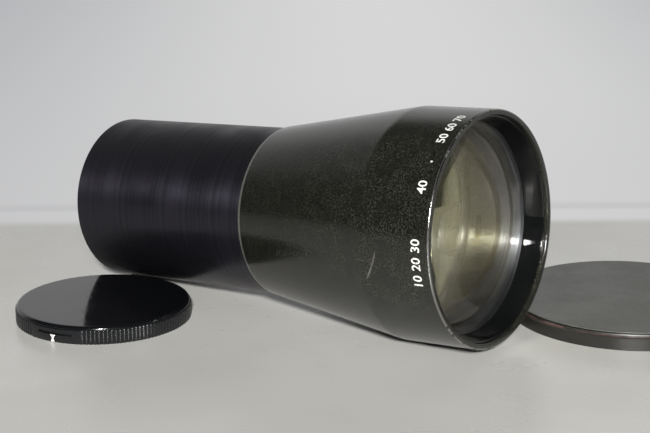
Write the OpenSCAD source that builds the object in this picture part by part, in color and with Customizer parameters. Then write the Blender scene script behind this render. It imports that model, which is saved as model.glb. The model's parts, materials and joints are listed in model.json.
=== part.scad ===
// Projection lens for cinema film, lying on a table beside its two caps.
// The lens is drawn upright along its optical axis, from the rear end forwards, and then laid
// down so that its rear edge and the shoulder of its housing both rest on the table at z = 0.
// +X runs from the rear end to the front, +Z is up, and the origin lies on the table under the
// centre of the bounding box.

/* [Mounting barrel] */
// Diameter of the seat that slides in the projector's lens holder
seat_d = 62.5; // [56:0.5:70]
// Length of the seat, from the rear end to the housing
seat_len = 81.5; // [68:0.5:97]
// Wall of the seat around the rear cell
barrel_wall = 3.75; // [3:0.05:4.5]
// Chamfer at the rear end of the seat
seat_chamfer = 0.8; // [0.4:0.1:1.2]
// Length of the spigot that screws into the housing
spigot_len = 20; // [16:0.5:24]
// Wall of the spigot outside the bore for the rear cell
spigot_wall = 1.5; // [1.2:0.1:1.8]
// How far the bore with the light trap stays inside the bore for the rear cell
trap_step = 1; // [0.8:0.05:1.2]
// Depth of one groove of the light trap
trap_depth = 0.8; // [0.6:0.05:1]
// Distance from one groove of the light trap to the next
trap_pitch = 3; // [2.4:0.1:3.6]

/* [Front housing] */
// Diameter of the front cylinder
front_d = 84; // [74:0.5:96]
// Length of the cone between the seat and the front cylinder
cone_len = 60; // [50:0.5:72]
// Length of the front cylinder
front_len = 28.5; // [23:0.5:35]
// Wall of the housing round the hollow cone
housing_wall = 2.6; // [2:0.1:3.2]
// How far the rear edge of the housing stands proud of the seat
collar_step = 0.85; // [0.6:0.05:1.1]
// Chamfer on the rear edge of the housing
collar_chamfer = 0.6; // [0.4:0.05:0.7]
// Wall of the rim at the very front
rim_wall = 2.2; // [1.9:0.05:2.6]
// Rounding on the outside of the rim
rim_round = 1; // [0.8:0.05:1.1]
// Rounding on the inside of the rim
rim_inner_round = 0.7; // [0.5:0.05:0.8]
// Thickness of the inner flanges of the housing and of the lips that hold the glass
flange_t = 2.2; // [1.8:0.1:2.7]
// Width of the flange in front of the light baffle
flange_w = 1.3; // [1.1:0.1:1.6]
// Width of the flange behind the cell of the third element
shoulder_w = 2; // [1.6:0.1:2.4]

/* [Front group of glass] */
// How far the front glass stays behind the plane of the rim
glass_set_back = 2.4; // [1.9:0.1:3]
// How far the front retaining ring stays behind the plane of the rim
ring_set_back = 1.6; // [1.3:0.1:1.9]
// Width of the front face of the front retaining ring
ring_face_w = 0.7; // [0.5:0.05:0.85]
// Width of the edge of glass that the front retaining ring covers
ring_lip = 1.2; // [1:0.1:1.5]
// Thickness of the front retaining ring where it meets the glass
ring_lip_t = 0.6; // [0.5:0.05:0.7]
// Step from the bore of the rim down to the seat of the front element
front_step = 1.2; // [1:0.1:1.5]
// Radius of the front surface of the front element
e1_front_radius = 110; // [90:1:132]
// Radius of the rear surface of the front element
e1_rear_radius = 330; // [270:5:400]
// Thickness of the front element at its edge
e1_edge = 3; // [2.4:0.1:3.6]
// Gap on the axis between the front and the second element
gap_1 = 0.8; // [0.6:0.05:1]
// Radius of the front surface of the second element
e2_front_radius = 78; // [64:1:94]
// Radius of the rear surface of the second element
e2_rear_radius = 190; // [155:1:230]
// Thickness of the second element at its edge
e2_edge = 3; // [2.4:0.1:3.6]
// Gap on the axis between the second and the third element
gap_2 = 3.8; // [3.1:0.1:4.6]
// Radius of the front surface of the third element
e3_front_radius = 160; // [130:1:195]
// Radius of the hollow rear surface of the third element
e3_rear_radius = 46; // [38:1:56]
// Thickness of the third element on the axis
e3_centre = 3.5; // [2.8:0.1:4.2]
// Width of the ledge under the front element
front_ledge = 2.5; // [2:0.1:3]
// Width of the ledge under the second element
second_ledge = 4; // [3.2:0.1:4.8]
// Width of the flat land round the hollow rear surface of an element
glass_land = 1; // [0.8:0.1:1.2]
// Width of the spacer between the front and the second element
front_spacer_w = 1.6; // [1.3:0.1:1.9]
// Wall of the cell that carries the third element
negative_wall = 2.8; // [2.3:0.1:3.4]
// Width of the flat land round the hollow of the third element
third_land = 4.5; // [3.6:0.1:5.4]
// Width of the lip behind the third element
negative_lip = 3.7; // [3:0.1:4.2]
// Width of the edge of glass that the ring of the third element covers
negative_ring_lip = 1.8; // [1.5:0.1:2.1]
// Thickness of the ring that holds the third element
negative_ring_t = 2; // [1.6:0.1:2.4]

/* [Rear group of glass] */
// How far the clamp ring stays inside the rear end
rear_recess = 6; // [4.8:0.1:7.2]
// Length of each threaded ring of the rear group
ring_len = 4; // [3.2:0.1:4.8]
// Width of the ring that clamps the rear cell
clamp_w = 3.4; // [2.8:0.1:4]
// Gap between the two threaded rings of the rear group
ring_gap = 2; // [1.6:0.1:2.4]
// Wall of the cell that carries the rear group
cell_wall = 2.35; // [1.9:0.05:2.8]
// Radius of the rear surface of the rear element
e6_rear_radius = 160; // [130:1:195]
// Thickness of the rear element at its edge
e6_edge = 2.3; // [1.9:0.1:2.8]
// Radius of the front surface of the rear element
e6_front_radius = 70; // [58:1:84]
// Gap on the axis between the rear element and the cemented pair
gap_5 = 1; // [0.8:0.05:1.2]
// Radius of the rear surface of the crown glass of the cemented pair
e5_rear_radius = 90; // [74:1:108]
// Thickness of the crown glass at its edge
e5_edge = 1.8; // [1.5:0.05:2.2]
// Radius of the cemented surface
cement_radius = 44; // [37:1:53]
// Thickness of the flint glass on the axis
e4_centre = 2.5; // [2:0.1:3]
// Radius of the front surface of the flint glass
e4_front_radius = 130; // [107:1:156]
// Width of the lip that holds each element at its edge
lip = 1.5; // [1.2:0.1:1.8]
// Thickness of the fixed aperture stop
stop_t = 1; // [0.8:0.05:1.2]
// Diameter of the opening in the fixed aperture stop
stop_d = 43; // [36:0.5:45]
// Thickness of the light baffle on the spigot
baffle_t = 1.2; // [1:0.05:1.5]
// Width of the light baffle, from its outside to its opening
baffle_w = 3.5; // [2.9:0.1:4.2]

/* [Rear cap] */
// Wall of the skirt of the rear cap, to the crests of its ribs
rear_cap_wall = 1.4; // [1.2:0.05:1.7]
// Thickness of the top of the rear cap
rear_cap_top = 1.5; // [1.2:0.1:1.8]
// Depth of the inside of the rear cap
rear_cap_depth = 5; // [4.2:0.1:6]
// Number of ribs round the skirt
rear_cap_ribs = 132; // [96:1:150]
// Depth of the valleys between the ribs
rib_depth = 0.3; // [0.2:0.02:0.36]
// Rounding of the top edge of the rear cap
rear_cap_round = 1.2; // [1:0.05:1.4]
// Length of the smooth panel between the ribs
panel_len = 21; // [18:0.5:24]
// Length of the slot in the smooth panel
slot_len = 14; // [11.5:0.5:16.5]
// Height of the slot
slot_h = 0.9; // [0.7:0.05:1.1]
// Height of the slot's lower edge above the table
slot_z = 2.9; // [2.4:0.1:3.3]
// Depth of the slot
slot_depth = 0.8; // [0.6:0.05:0.95]

/* [Front cap] */
// Wall of the skirt of the front cap
front_cap_wall = 1.85; // [1.6:0.05:2.2]
// Thickness of the top of the front cap
front_cap_top = 1.6; // [1.3:0.1:1.9]
// Depth of the inside of the front cap
front_cap_depth = 5.3; // [4.3:0.1:6.3]
// Depth of the groove under the top edge of the front cap
groove_depth = 0.6; // [0.5:0.05:0.7]
// Height of the groove under the top edge of the front cap
groove_h = 0.35; // [0.3:0.05:0.45]
// Thickness of the edge above the groove
groove_edge = 0.5; // [0.4:0.05:0.6]
// Height of the rounded bead under the groove
bead_h = 1.6; // [1.3:0.1:1.9]
// How far the bead stands proud of the skirt
bead_proud = 0.2; // [0.15:0.01:0.25]

/* [Fits and fasteners] */
// Radial clearance of a threaded or sliding ring in its bore
ring_clearance = 0.05; // [0.03:0.01:0.07]
// Radial clearance of a glass element in its seat
glass_clearance = 0.1; // [0.08:0.01:0.12]
// Gap where a ring's edge meets a curved glass surface
touch_gap = 0.05; // [0.04:0.01:0.06]
// Radial clearance of a cap on the lens
cap_clearance = 0.15; // [0.12:0.01:0.18]
// Width of the spanner slots in the threaded rings
spanner_w = 2.4; // [2:0.1:2.9]
// Depth of the spanner slots in the threaded rings
spanner_depth = 1.2; // [1:0.05:1.4]
// Diameter of the grub screw that locks the housing on the spigot
grub_d = 3; // [2.5:0.1:3.6]
// Distance of the grub screw from the rear edge of the housing
grub_from_edge = 8; // [6.5:0.1:9.5]

/* [Places on the table] */
// Place of the rear cap along the lens, from the rear end
rear_cap_along = 31.3; // [26:0.1:37]
// Gap between the rear cap and the barrel above it
rear_cap_gap = 1.1; // [0.9:0.05:1.4]
// Distance of the front cap's centre in front of the rim
front_cap_ahead = 20.8; // [17:0.1:25]
// Gap between the front cap and the lens above it
front_cap_gap = 2.3; // [1.9:0.1:2.8]
// Turn of the slot in the rear cap about its centre, in degrees
slot_turn = -80; // [-98:1:-64]

/* [Hidden] */

$fn = 128;
// Finer steps for the shallow spherical surfaces of the glass
glass_fn = 256;
// Overlap that a cutting tool needs beyond the face it cuts
cut = 1;
// Share of the pitch that one groove of the light trap takes
groove_share = 0.8;
// How far the grub screw's head lies under the paint, and the width and depth of its slot
grub_set_back = 0.4;
grub_slot_w = 0.5;
grub_slot_depth = 0.8;

// Colours
anodised_black = [0.10, 0.09, 0.11];
paint_black = [0.13, 0.13, 0.12];
ring_black = [0.05, 0.05, 0.06];
glass_tint = [0.72, 0.80, 0.74, 0.4];
plastic_black = [0.07, 0.075, 0.085];
lacquer_grey = [0.28, 0.28, 0.26];
steel_grey = [0.55, 0.55, 0.56];

// How far a spherical surface falls away from its vertex at radius r
function sag(r, radius) = radius - sqrt(radius * radius - r * r);
// Points of an arc, from the angle at its start to the angle at its end
function arc(x, y, radius, start, end, steps = 6) = [
    for (i = [0:steps])
        let (turn = start + (end - start) * i / steps)
            [x + radius * cos(turn), y + radius * sin(turn)]
];
// Points up a rounded bead that stands proud of the radius r between two heights
function bead(r, low, high, proud, steps = 8) = [
    for (i = [0:steps])
        let (t = 2 * i / steps - 1)
            [r + proud * (1 - t * t), (low + high) / 2 + t * (high - low) / 2]
];

// Radii of the barrel
seat_r = seat_d / 2;
bore_r = seat_r - barrel_wall;
spigot_r = bore_r + spigot_wall;
trap_r = bore_r - trap_step;
end_chamfer = 0.5;
// Ledge between the valleys of the ribs and the rounded top of the rear cap
rib_ledge = 0.1;

// Stations along the axis, from the rear end
s_joint = seat_len;
s_spigot = s_joint + spigot_len;
s_baffle_front = s_spigot + baffle_t;
s_flange = s_baffle_front + flange_t;
s_grub = s_joint + grub_from_edge;
s_shoulder = s_joint + cone_len;
s_rim = s_shoulder + front_len;

// Radii of the housing, each bore smaller than the one before it
front_r = front_d / 2;
collar_r = seat_r + collar_step;
collar_bore_r = spigot_r + ring_clearance;
rim_bore_r = front_r - rim_wall;
front_ring_r = rim_bore_r - ring_clearance;
e1_seat_r = rim_bore_r - front_step;
e1_r = e1_seat_r - glass_clearance;
e2_seat_r = e1_seat_r - front_ledge;
e2_r = e2_seat_r - glass_clearance;
negative_bore_r = e2_seat_r - second_ledge;
negative_r = negative_bore_r - ring_clearance;
e3_seat_r = negative_r - negative_wall;
e3_r = e3_seat_r - glass_clearance;
shoulder_r = negative_bore_r - shoulder_w;
flange_r = collar_bore_r - flange_w;

// Front group, from the rim backwards
e1_lip_r = e1_r - ring_lip;
e1_front = s_rim - glass_set_back;
s_ring_front = s_rim - ring_set_back;
s_ring_back = e1_front - sag(e1_lip_r, e1_front_radius) + touch_gap;
s_rim_bore_end = s_ring_back - ring_lip_t;
e1_edge_back = e1_front - sag(e1_r, e1_front_radius) - e1_edge;
e1_back = e1_edge_back + sag(e1_r - glass_land, e1_rear_radius);
e2_front = e1_back - gap_1;
front_spacer_r = e2_seat_r - ring_clearance;
s_front_spacer = e2_front - sag(e2_r - front_spacer_w, e2_front_radius) + touch_gap;
e2_edge_back = e2_front - sag(e2_r, e2_front_radius) - e2_edge;
e2_back = e2_edge_back + sag(e2_r - glass_land, e2_rear_radius);
e3_front = e2_back - gap_2;
e3_back = e3_front - e3_centre;
e3_hollow_r = e3_r - third_land;
e3_edge_back = e3_back - sag(e3_hollow_r, e3_rear_radius);
e3_ring_lip_r = e3_r - negative_ring_lip;
s_negative_ring = e3_front - sag(e3_ring_lip_r, e3_front_radius) + touch_gap;
s_negative_front = s_negative_ring + negative_ring_t;
s_negative_back = e3_edge_back - flange_t;
s_shoulder_back = s_negative_back - flange_t;

// Rear group, from the rear end forwards
cell_r = bore_r - ring_clearance;
e6_seat_r = cell_r - cell_wall;
e6_r = e6_seat_r - glass_clearance;
clear_r = e6_r - lip;
clamp_r = cell_r - clamp_w;
s_clamp_back = rear_recess;
s_cell_back = s_clamp_back + ring_len;
s_rear_ring_back = s_cell_back + ring_gap;
s_rear_ring_front = s_rear_ring_back + ring_len;
e6_back = s_rear_ring_front + touch_gap - sag(clear_r, e6_rear_radius);
e6_edge_back = e6_back + sag(e6_r, e6_rear_radius);
e6_edge_front = e6_edge_back + e6_edge;
e6_front = e6_edge_front + sag(e6_r, e6_front_radius);
s_spacer_back = e6_front - sag(clear_r, e6_front_radius) + touch_gap;
e5_back = e6_front + gap_5;
s_spacer_front = e5_back + sag(clear_r, e5_rear_radius) - touch_gap;
e5_edge_back = e5_back + sag(e6_r, e5_rear_radius);
e5_edge_front = e5_edge_back + e5_edge;
e5_front = e5_edge_front + sag(e6_r, cement_radius);
e4_back = e5_front + touch_gap;
e4_front = e4_back + e4_centre;
s_lip_back = e4_front - sag(clear_r, e4_front_radius) + touch_gap;
s_cell_front = s_lip_back + flange_t;
s_stop_front = s_cell_front + stop_t;
s_trap_start = s_stop_front + flange_t;
stop_r = stop_d / 2;
trap_count = floor((s_joint - s_trap_start - trap_pitch) / trap_pitch);

// The lens lies on the rear edge of its seat and on the shoulder of its housing
tilt = atan((front_r - seat_r) / (s_shoulder - seat_chamfer));
axis_z = seat_r * cos(tilt) - seat_chamfer * sin(tilt);

// Caps
rear_cap_bore_r = seat_r + cap_clearance;
rear_cap_r = rear_cap_bore_r + rear_cap_wall;
rear_cap_h = rear_cap_depth + rear_cap_top;
front_cap_bore_r = front_r + cap_clearance;
front_cap_r = front_cap_bore_r + front_cap_wall;
front_cap_h = front_cap_depth + front_cap_top;

// Depth of a cap's upper edge under the optical axis, measured square to the axis
function under_axis(h, along) = (axis_z - h) * cos(tilt) + along * sin(tilt);
// Sideways distance from the axis at which a cap's edge keeps a gap to a barrel of radius r
function edge_aside(r, gap, h, along) = sqrt(pow(r + gap, 2) - pow(under_axis(h, along), 2));

rear_cap_x = rear_cap_along;
rear_cap_y = -rear_cap_r - edge_aside(seat_r, rear_cap_gap, rear_cap_h, rear_cap_x);
front_cap_x = s_rim * cos(tilt) + front_cap_ahead;
front_cap_y = front_cap_r + edge_aside(front_r, front_cap_gap, front_cap_h, front_cap_x);

// Bounding box, which sets the origin
lens_x_min = -(seat_r - seat_chamfer) * sin(tilt);
x_min = min(lens_x_min, rear_cap_x - rear_cap_r);
x_max = max(s_rim * cos(tilt) + front_r * sin(tilt), front_cap_x + front_cap_r);
y_min = min(-front_r, rear_cap_y - rear_cap_r);
y_max = max(front_r, front_cap_y + front_cap_r);
origin_x = (x_min + x_max) / 2;
origin_y = (y_min + y_max) / 2;

// Outer radius of the cone at station s
function cone_r(s) = collar_r + (front_r - collar_r) * (s - s_joint) / cone_len;

// Lays what is drawn upright along +Z down on the table, with the front end towards +X
module along_axis() {
    translate([-origin_x, -origin_y, axis_z])
        rotate([0, 90 - tilt, 0])
            children();
}

module on_table(x, y) {
    translate([x - origin_x, y - origin_y, 0])
        children();
}

module turned(points) {
    rotate_extrude()
        polygon(points);
}

// A plain turned ring between two radii and two stations
module ring(r_in, r_out, s_back, s_front) {
    turned([[r_in, s_back], [r_out, s_back], [r_out, s_front], [r_in, s_front]]);
}

// Two slots across a ring's end face for a spanner, cut towards the side that way gives
module spanner_slots(r_out, s_face, way) {
    s_low = way > 0 ? s_face - cut : s_face - spanner_depth;
    translate([-r_out - cut, -spanner_w / 2, s_low])
        cube([2 * (r_out + cut), spanner_w, spanner_depth + cut]);
}

// Glass with a convex front, a hollow rear and a flat land round the hollow
module meniscus(r, s_vertex, front_radius, s_land, s_hollow, rear_radius) {
    color(glass_tint)
        along_axis()
            difference() {
                intersection() {
                    translate([0, 0, s_land])
                        cylinder(r = r, h = s_vertex - s_land + cut);
                    glass_sphere(front_radius, s_vertex, true);
                }
                glass_sphere(rear_radius, s_hollow, true);
            }
}

// A sphere with its vertex at station s, its centre behind the vertex or in front of it
module glass_sphere(radius, s_vertex, centre_behind) {
    translate([0, 0, centre_behind ? s_vertex - radius : s_vertex + radius])
        sphere(r = radius, $fn = glass_fn);
}

// Turned tube with the projector seat, a threaded spigot and a light trap inside
module mounting_barrel() {
    trap_end = s_trap_start + trap_pitch;
    grooves = [
        for (i = [trap_count - 1:-1:0], corner = [[1, 0], [0.5, 1], [0, 0]])
            [
                trap_r + corner[1] * trap_depth,
                trap_end + (i + groove_share * corner[0]) * trap_pitch
            ]
    ];
    color(anodised_black)
        along_axis()
            turned(concat(
                [
                    [bore_r + end_chamfer, 0],
                    [seat_r - seat_chamfer, 0],
                    [seat_r, seat_chamfer],
                    [seat_r, s_joint],
                    [spigot_r, s_joint],
                    [spigot_r, s_spigot],
                    [trap_r, s_spigot],
                ],
                grooves,
                [
                    [trap_r, s_trap_start],
                    [clear_r, s_trap_start],
                    [clear_r, s_stop_front],
                    [bore_r, s_stop_front],
                    [bore_r, end_chamfer],
                ]
            ));
}

// Painted shell: collar, cone and front cylinder, with stepped bores for the glass
module front_housing() {
    rim = concat(
        arc(front_r - rim_round, s_rim - rim_round, rim_round, 0, 90),
        arc(rim_bore_r + rim_inner_round, s_rim - rim_inner_round, rim_inner_round, 90, 180)
    );
    color(paint_black)
        along_axis()
            difference() {
                turned(concat([
                    [collar_bore_r, s_joint],
                    [collar_r - collar_chamfer, s_joint],
                    [collar_r, s_joint + collar_chamfer],
                    [front_r, s_shoulder],
                ], rim, [
                    [rim_bore_r, s_rim_bore_end],
                    [e1_seat_r, s_rim_bore_end],
                    [e1_seat_r, e1_edge_back],
                    [e2_seat_r, e1_edge_back],
                    [e2_seat_r, e2_edge_back],
                    [negative_bore_r, e2_edge_back],
                    [negative_bore_r, s_negative_back],
                    [shoulder_r, s_negative_back],
                    [shoulder_r, s_shoulder_back],
                    [cone_r(s_shoulder_back) - housing_wall, s_shoulder_back],
                    [cone_r(s_flange) - housing_wall, s_flange],
                    [flange_r, s_flange],
                    [flange_r, s_baffle_front],
                    [collar_bore_r, s_baffle_front],
                ]));
                translate([0, 0, s_grub])
                    rotate([-90, 0, 0])
                        cylinder(r = grub_d / 2, h = front_r);
            }
}

// Threaded ring with a conical inner wall that holds the front element
module front_retaining_ring() {
    color(ring_black)
        along_axis()
            turned([
                [e1_lip_r, s_ring_back],
                [front_ring_r, s_ring_back],
                [front_ring_r, s_ring_front],
                [front_ring_r - ring_face_w, s_ring_front],
                [e1_lip_r, s_ring_back + ring_lip_t],
            ]);
}

// Convex front glass, hollow behind
module front_element() {
    meniscus(e1_r, e1_front, e1_front_radius, e1_edge_back, e1_back, e1_rear_radius);
}

module front_spacer() {
    color(ring_black)
        along_axis()
            ring(e2_r - front_spacer_w, front_spacer_r, s_front_spacer, e1_edge_back);
}

module second_element() {
    meniscus(e2_r, e2_front, e2_front_radius, e2_edge_back, e2_back, e2_rear_radius);
}

// Cell with a rear lip that carries the third element
module negative_cell() {
    color(ring_black)
        along_axis()
            turned([
                [e3_seat_r - negative_lip, s_negative_back],
                [negative_r, s_negative_back],
                [negative_r, s_negative_front],
                [e3_seat_r, s_negative_front],
                [e3_seat_r, e3_edge_back],
                [e3_seat_r - negative_lip, e3_edge_back],
            ]);
}

// Negative glass with a deep hollow at its rear
module third_element() {
    meniscus(e3_r, e3_front, e3_front_radius, e3_edge_back, e3_back, e3_rear_radius);
}

module negative_retaining_ring() {
    color(ring_black)
        along_axis()
            difference() {
                ring(e3_ring_lip_r, e3_seat_r - ring_clearance, s_negative_ring, s_negative_front);
                spanner_slots(e3_seat_r, s_negative_front, -1);
            }
}

// Thin ring clamped between the spigot and the flange of the housing
module light_baffle() {
    color(ring_black)
        along_axis()
            ring(spigot_r - baffle_w, spigot_r, s_spigot, s_baffle_front);
}

// Fixed stop clamped between the rear cell and the shoulder of the barrel
module aperture_stop() {
    color(ring_black)
        along_axis()
            ring(stop_r, cell_r, s_cell_front, s_stop_front);
}

// Inner tube with a front lip that carries the cemented pair and the rear element
module rear_cell() {
    color(ring_black)
        along_axis()
            turned([
                [e6_seat_r, s_cell_back],
                [cell_r, s_cell_back],
                [cell_r, s_cell_front],
                [clear_r, s_cell_front],
                [clear_r, s_lip_back],
                [e6_seat_r, s_lip_back],
            ]);
}

module doublet_flint_element() {
    color(glass_tint)
        along_axis()
            difference() {
                intersection() {
                    translate([0, 0, e5_edge_front + touch_gap])
                        cylinder(r = e6_r, h = e4_front - e5_edge_front + cut);
                    glass_sphere(e4_front_radius, e4_front, true);
                }
                glass_sphere(cement_radius, e4_back, true);
            }
}

module doublet_crown_element() {
    color(glass_tint)
        along_axis()
            intersection() {
                translate([0, 0, e5_back - cut])
                    cylinder(r = e6_r, h = e5_front - e5_back + 2 * cut);
                glass_sphere(cement_radius, e5_front, true);
                glass_sphere(e5_rear_radius, e5_back, false);
            }
}

module doublet_spacer() {
    color(ring_black)
        along_axis()
            ring(clear_r, e6_seat_r - ring_clearance, s_spacer_back, s_spacer_front);
}

module rear_element() {
    color(glass_tint)
        along_axis()
            intersection() {
                translate([0, 0, e6_back - cut])
                    cylinder(r = e6_r, h = e6_front - e6_back + 2 * cut);
                glass_sphere(e6_front_radius, e6_front, true);
                glass_sphere(e6_rear_radius, e6_back, false);
            }
}

module rear_retaining_ring() {
    color(ring_black)
        along_axis()
            difference() {
                ring(clear_r, e6_seat_r - ring_clearance, s_rear_ring_back, s_rear_ring_front);
                spanner_slots(e6_seat_r, s_rear_ring_back, 1);
            }
}

// Threaded ring that clamps the rear cell in the barrel
module cell_clamp_ring() {
    color(ring_black)
        along_axis()
            difference() {
                ring(clamp_r, cell_r, s_clamp_back, s_cell_back);
                spanner_slots(cell_r, s_clamp_back, 1);
            }
}

// Slotted grub screw through the collar, on the side away from the rear cap
module barrel_lock_screw() {
    r_tip = spigot_r + touch_gap;
    r_head = cone_r(s_grub) - grub_set_back;
    color(steel_grey)
        along_axis()
            translate([0, 0, s_grub])
                rotate([-90, 0, 0])
                    difference() {
                        translate([0, 0, r_tip])
                            cylinder(r = grub_d / 2 - ring_clearance, h = r_head - r_tip);
                        translate([-grub_d, -grub_slot_w / 2, r_head - grub_slot_depth])
                            cube([2 * grub_d, grub_slot_w, grub_slot_depth + cut]);
                    }
}

// Plastic cap with ribs round its skirt, and a smooth panel with a slot
module rear_cap() {
    panel_half = asin(panel_len / 2 / rear_cap_r);
    slot_half = asin(slot_len / 2 / rear_cap_r);
    rib_points = [
        for (i = [0:2 * rear_cap_ribs - 1])
            let (
                turn = 180 * i / rear_cap_ribs,
                ribbed = min(turn, 360 - turn) > panel_half,
                r = rear_cap_r - (ribbed ? (i % 2) * rib_depth : 0)
            )
                [r * cos(turn), r * sin(turn)]
    ];
    top_r = rear_cap_r - rib_depth - rib_ledge;
    color(plastic_black)
        on_table(rear_cap_x, rear_cap_y)
            rotate([0, 0, slot_turn])
                difference() {
                    union() {
                        linear_extrude(rear_cap_h - rear_cap_round)
                            polygon(rib_points);
                        turned(concat(
                            [[0, rear_cap_depth], [top_r, rear_cap_depth]],
                            arc(top_r - rear_cap_round, rear_cap_h - rear_cap_round,
                                rear_cap_round, 0, 90),
                            [[0, rear_cap_h]]
                        ));
                    }
                    translate([0, 0, -cut])
                        cylinder(r = rear_cap_bore_r, h = rear_cap_depth + cut);
                    rotate([0, 0, -slot_half])
                        rotate_extrude(angle = 2 * slot_half)
                            translate([rear_cap_r - slot_depth, slot_z])
                                square([slot_depth + cut, slot_h]);
                }
}

// Lacquered metal cap with a groove and a bead under its top edge
module front_cap() {
    skirt_r = front_cap_r - bead_proud;
    groove_top = front_cap_h - groove_edge;
    groove_low = groove_top - groove_h;
    edge_round = groove_edge / 2;
    color(lacquer_grey)
        on_table(front_cap_x, front_cap_y)
            turned(concat(
                [
                    [0, front_cap_depth],
                    [front_cap_bore_r, front_cap_depth],
                    [front_cap_bore_r, 0],
                    [skirt_r, 0],
                ],
                bead(skirt_r, groove_low - bead_h, groove_low, bead_proud),
                [
                    [skirt_r - groove_depth, groove_low],
                    [skirt_r - groove_depth, groove_top],
                    [skirt_r, groove_top],
                ],
                arc(skirt_r - edge_round, front_cap_h - edge_round, edge_round, 0, 90),
                [[0, front_cap_h]]
            ));
}

mounting_barrel();
front_housing();
front_retaining_ring();
front_element();
front_spacer();
second_element();
negative_cell();
third_element();
negative_retaining_ring();
light_baffle();
aperture_stop();
rear_cell();
doublet_flint_element();
doublet_crown_element();
doublet_spacer();
rear_element();
rear_retaining_ring();
cell_clamp_ring();
barrel_lock_screw();
rear_cap();
front_cap();
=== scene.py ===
"""Projection lens for cinema film, laid on a table beside its two caps."""

import json
import math

import bmesh
import bpy
from bpy.props import FloatProperty, FloatVectorProperty, IntProperty, PointerProperty
from mathutils import Matrix, Vector


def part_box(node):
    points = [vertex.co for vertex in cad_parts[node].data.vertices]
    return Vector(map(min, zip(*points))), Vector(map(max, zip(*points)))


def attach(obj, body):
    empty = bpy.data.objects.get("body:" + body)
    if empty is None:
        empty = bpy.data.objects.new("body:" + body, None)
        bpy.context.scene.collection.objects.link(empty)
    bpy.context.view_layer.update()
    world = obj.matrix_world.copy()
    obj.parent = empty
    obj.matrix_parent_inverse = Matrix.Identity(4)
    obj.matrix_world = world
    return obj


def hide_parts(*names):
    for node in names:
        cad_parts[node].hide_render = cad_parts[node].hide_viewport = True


bl_info = {
    "name": "Projection lens",
    "version": (1, 0, 0),
    "blender": (4, 5, 0),
    "location": "View3D > Sidebar > Lens",
    "description": "Builds a projection lens and its two caps round their packed frame",
    "category": "Add Mesh",
}

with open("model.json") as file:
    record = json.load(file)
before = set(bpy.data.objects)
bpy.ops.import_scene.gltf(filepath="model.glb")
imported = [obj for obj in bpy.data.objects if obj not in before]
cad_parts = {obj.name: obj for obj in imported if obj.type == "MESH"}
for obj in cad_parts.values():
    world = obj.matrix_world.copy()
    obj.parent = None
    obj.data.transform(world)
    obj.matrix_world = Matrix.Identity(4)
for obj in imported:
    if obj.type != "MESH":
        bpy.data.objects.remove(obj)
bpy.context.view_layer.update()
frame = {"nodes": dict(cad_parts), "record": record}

MM = 0.001


def mount(name):
    """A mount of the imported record."""
    return next(m for m in frame["record"]["mounts"] if m["name"] == name)


def points_of(node):
    """The corners of a CAD node's mesh."""
    return [v.co for v in frame["nodes"][node].data.vertices]


# The optical axis runs from the rear end of the seat to the front, a little uphill
SEAT = mount("projector_seat")
RIM = mount("front_rim")
AXIS = -Vector(SEAT["axis"]).normalized()
SEAT_MIDDLE = Vector(SEAT["pos_m"])
REAR_END = SEAT_MIDDLE + AXIS * min((p - SEAT_MIDDLE).dot(AXIS) for p in points_of("mounting_barrel"))
# Turn that lays the axis, drawn upright, down on the table
LAID_DOWN = (0.0, math.pi / 2 - math.asin(AXIS.z), 0.0)
LENS_PLACE = Matrix.Translation(REAR_END) @ Matrix.Rotation(LAID_DOWN[1], 4, "Y")


class Reach:
    """How far a CAD node reaches along the optical axis and away from it."""

    def __init__(self, node):
        stations = [(p - REAR_END).dot(AXIS) for p in points_of(node)]
        radii = [(p - REAR_END).cross(AXIS).length for p in points_of(node)]
        self.back, self.front = min(stations), max(stations)
        self.inner, self.outer = min(radii), max(radii)


def station_of(place):
    """Distance of a mount from the rear end, along the axis."""
    return (Vector(place["pos_m"]) - REAR_END).dot(AXIS)


def length(name, description, millimetres, low=0.0):
    """A size property, in metres, given in millimetres."""
    return FloatProperty(
        name=name, description=description, default=millimetres * MM, min=low * MM,
        unit="LENGTH", precision=5,
    )


def degrees(name, description, value):
    """An angle property, given in degrees."""
    return FloatProperty(
        name=name, description=description, default=math.radians(value), subtype="ANGLE",
    )


def watts(name, description, power):
    """The power of a lamp, in watts."""
    return FloatProperty(name=name, description=description, default=power, min=0.0)


def linear(code):
    """An sRGB hex colour as linear red, green and blue."""
    parts = [int(code[i:i + 2], 16) / 255 for i in (1, 3, 5)]
    return tuple(c / 12.92 if c <= 0.04045 else ((c + 0.055) / 1.055) ** 2.4 for c in parts)


def colour(name, description, code):
    """A colour property, given as an sRGB hex value."""
    return FloatVectorProperty(
        name=name, description=description, default=linear(code), size=3, subtype="COLOR",
        min=0.0, max=1.0,
    )


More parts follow.
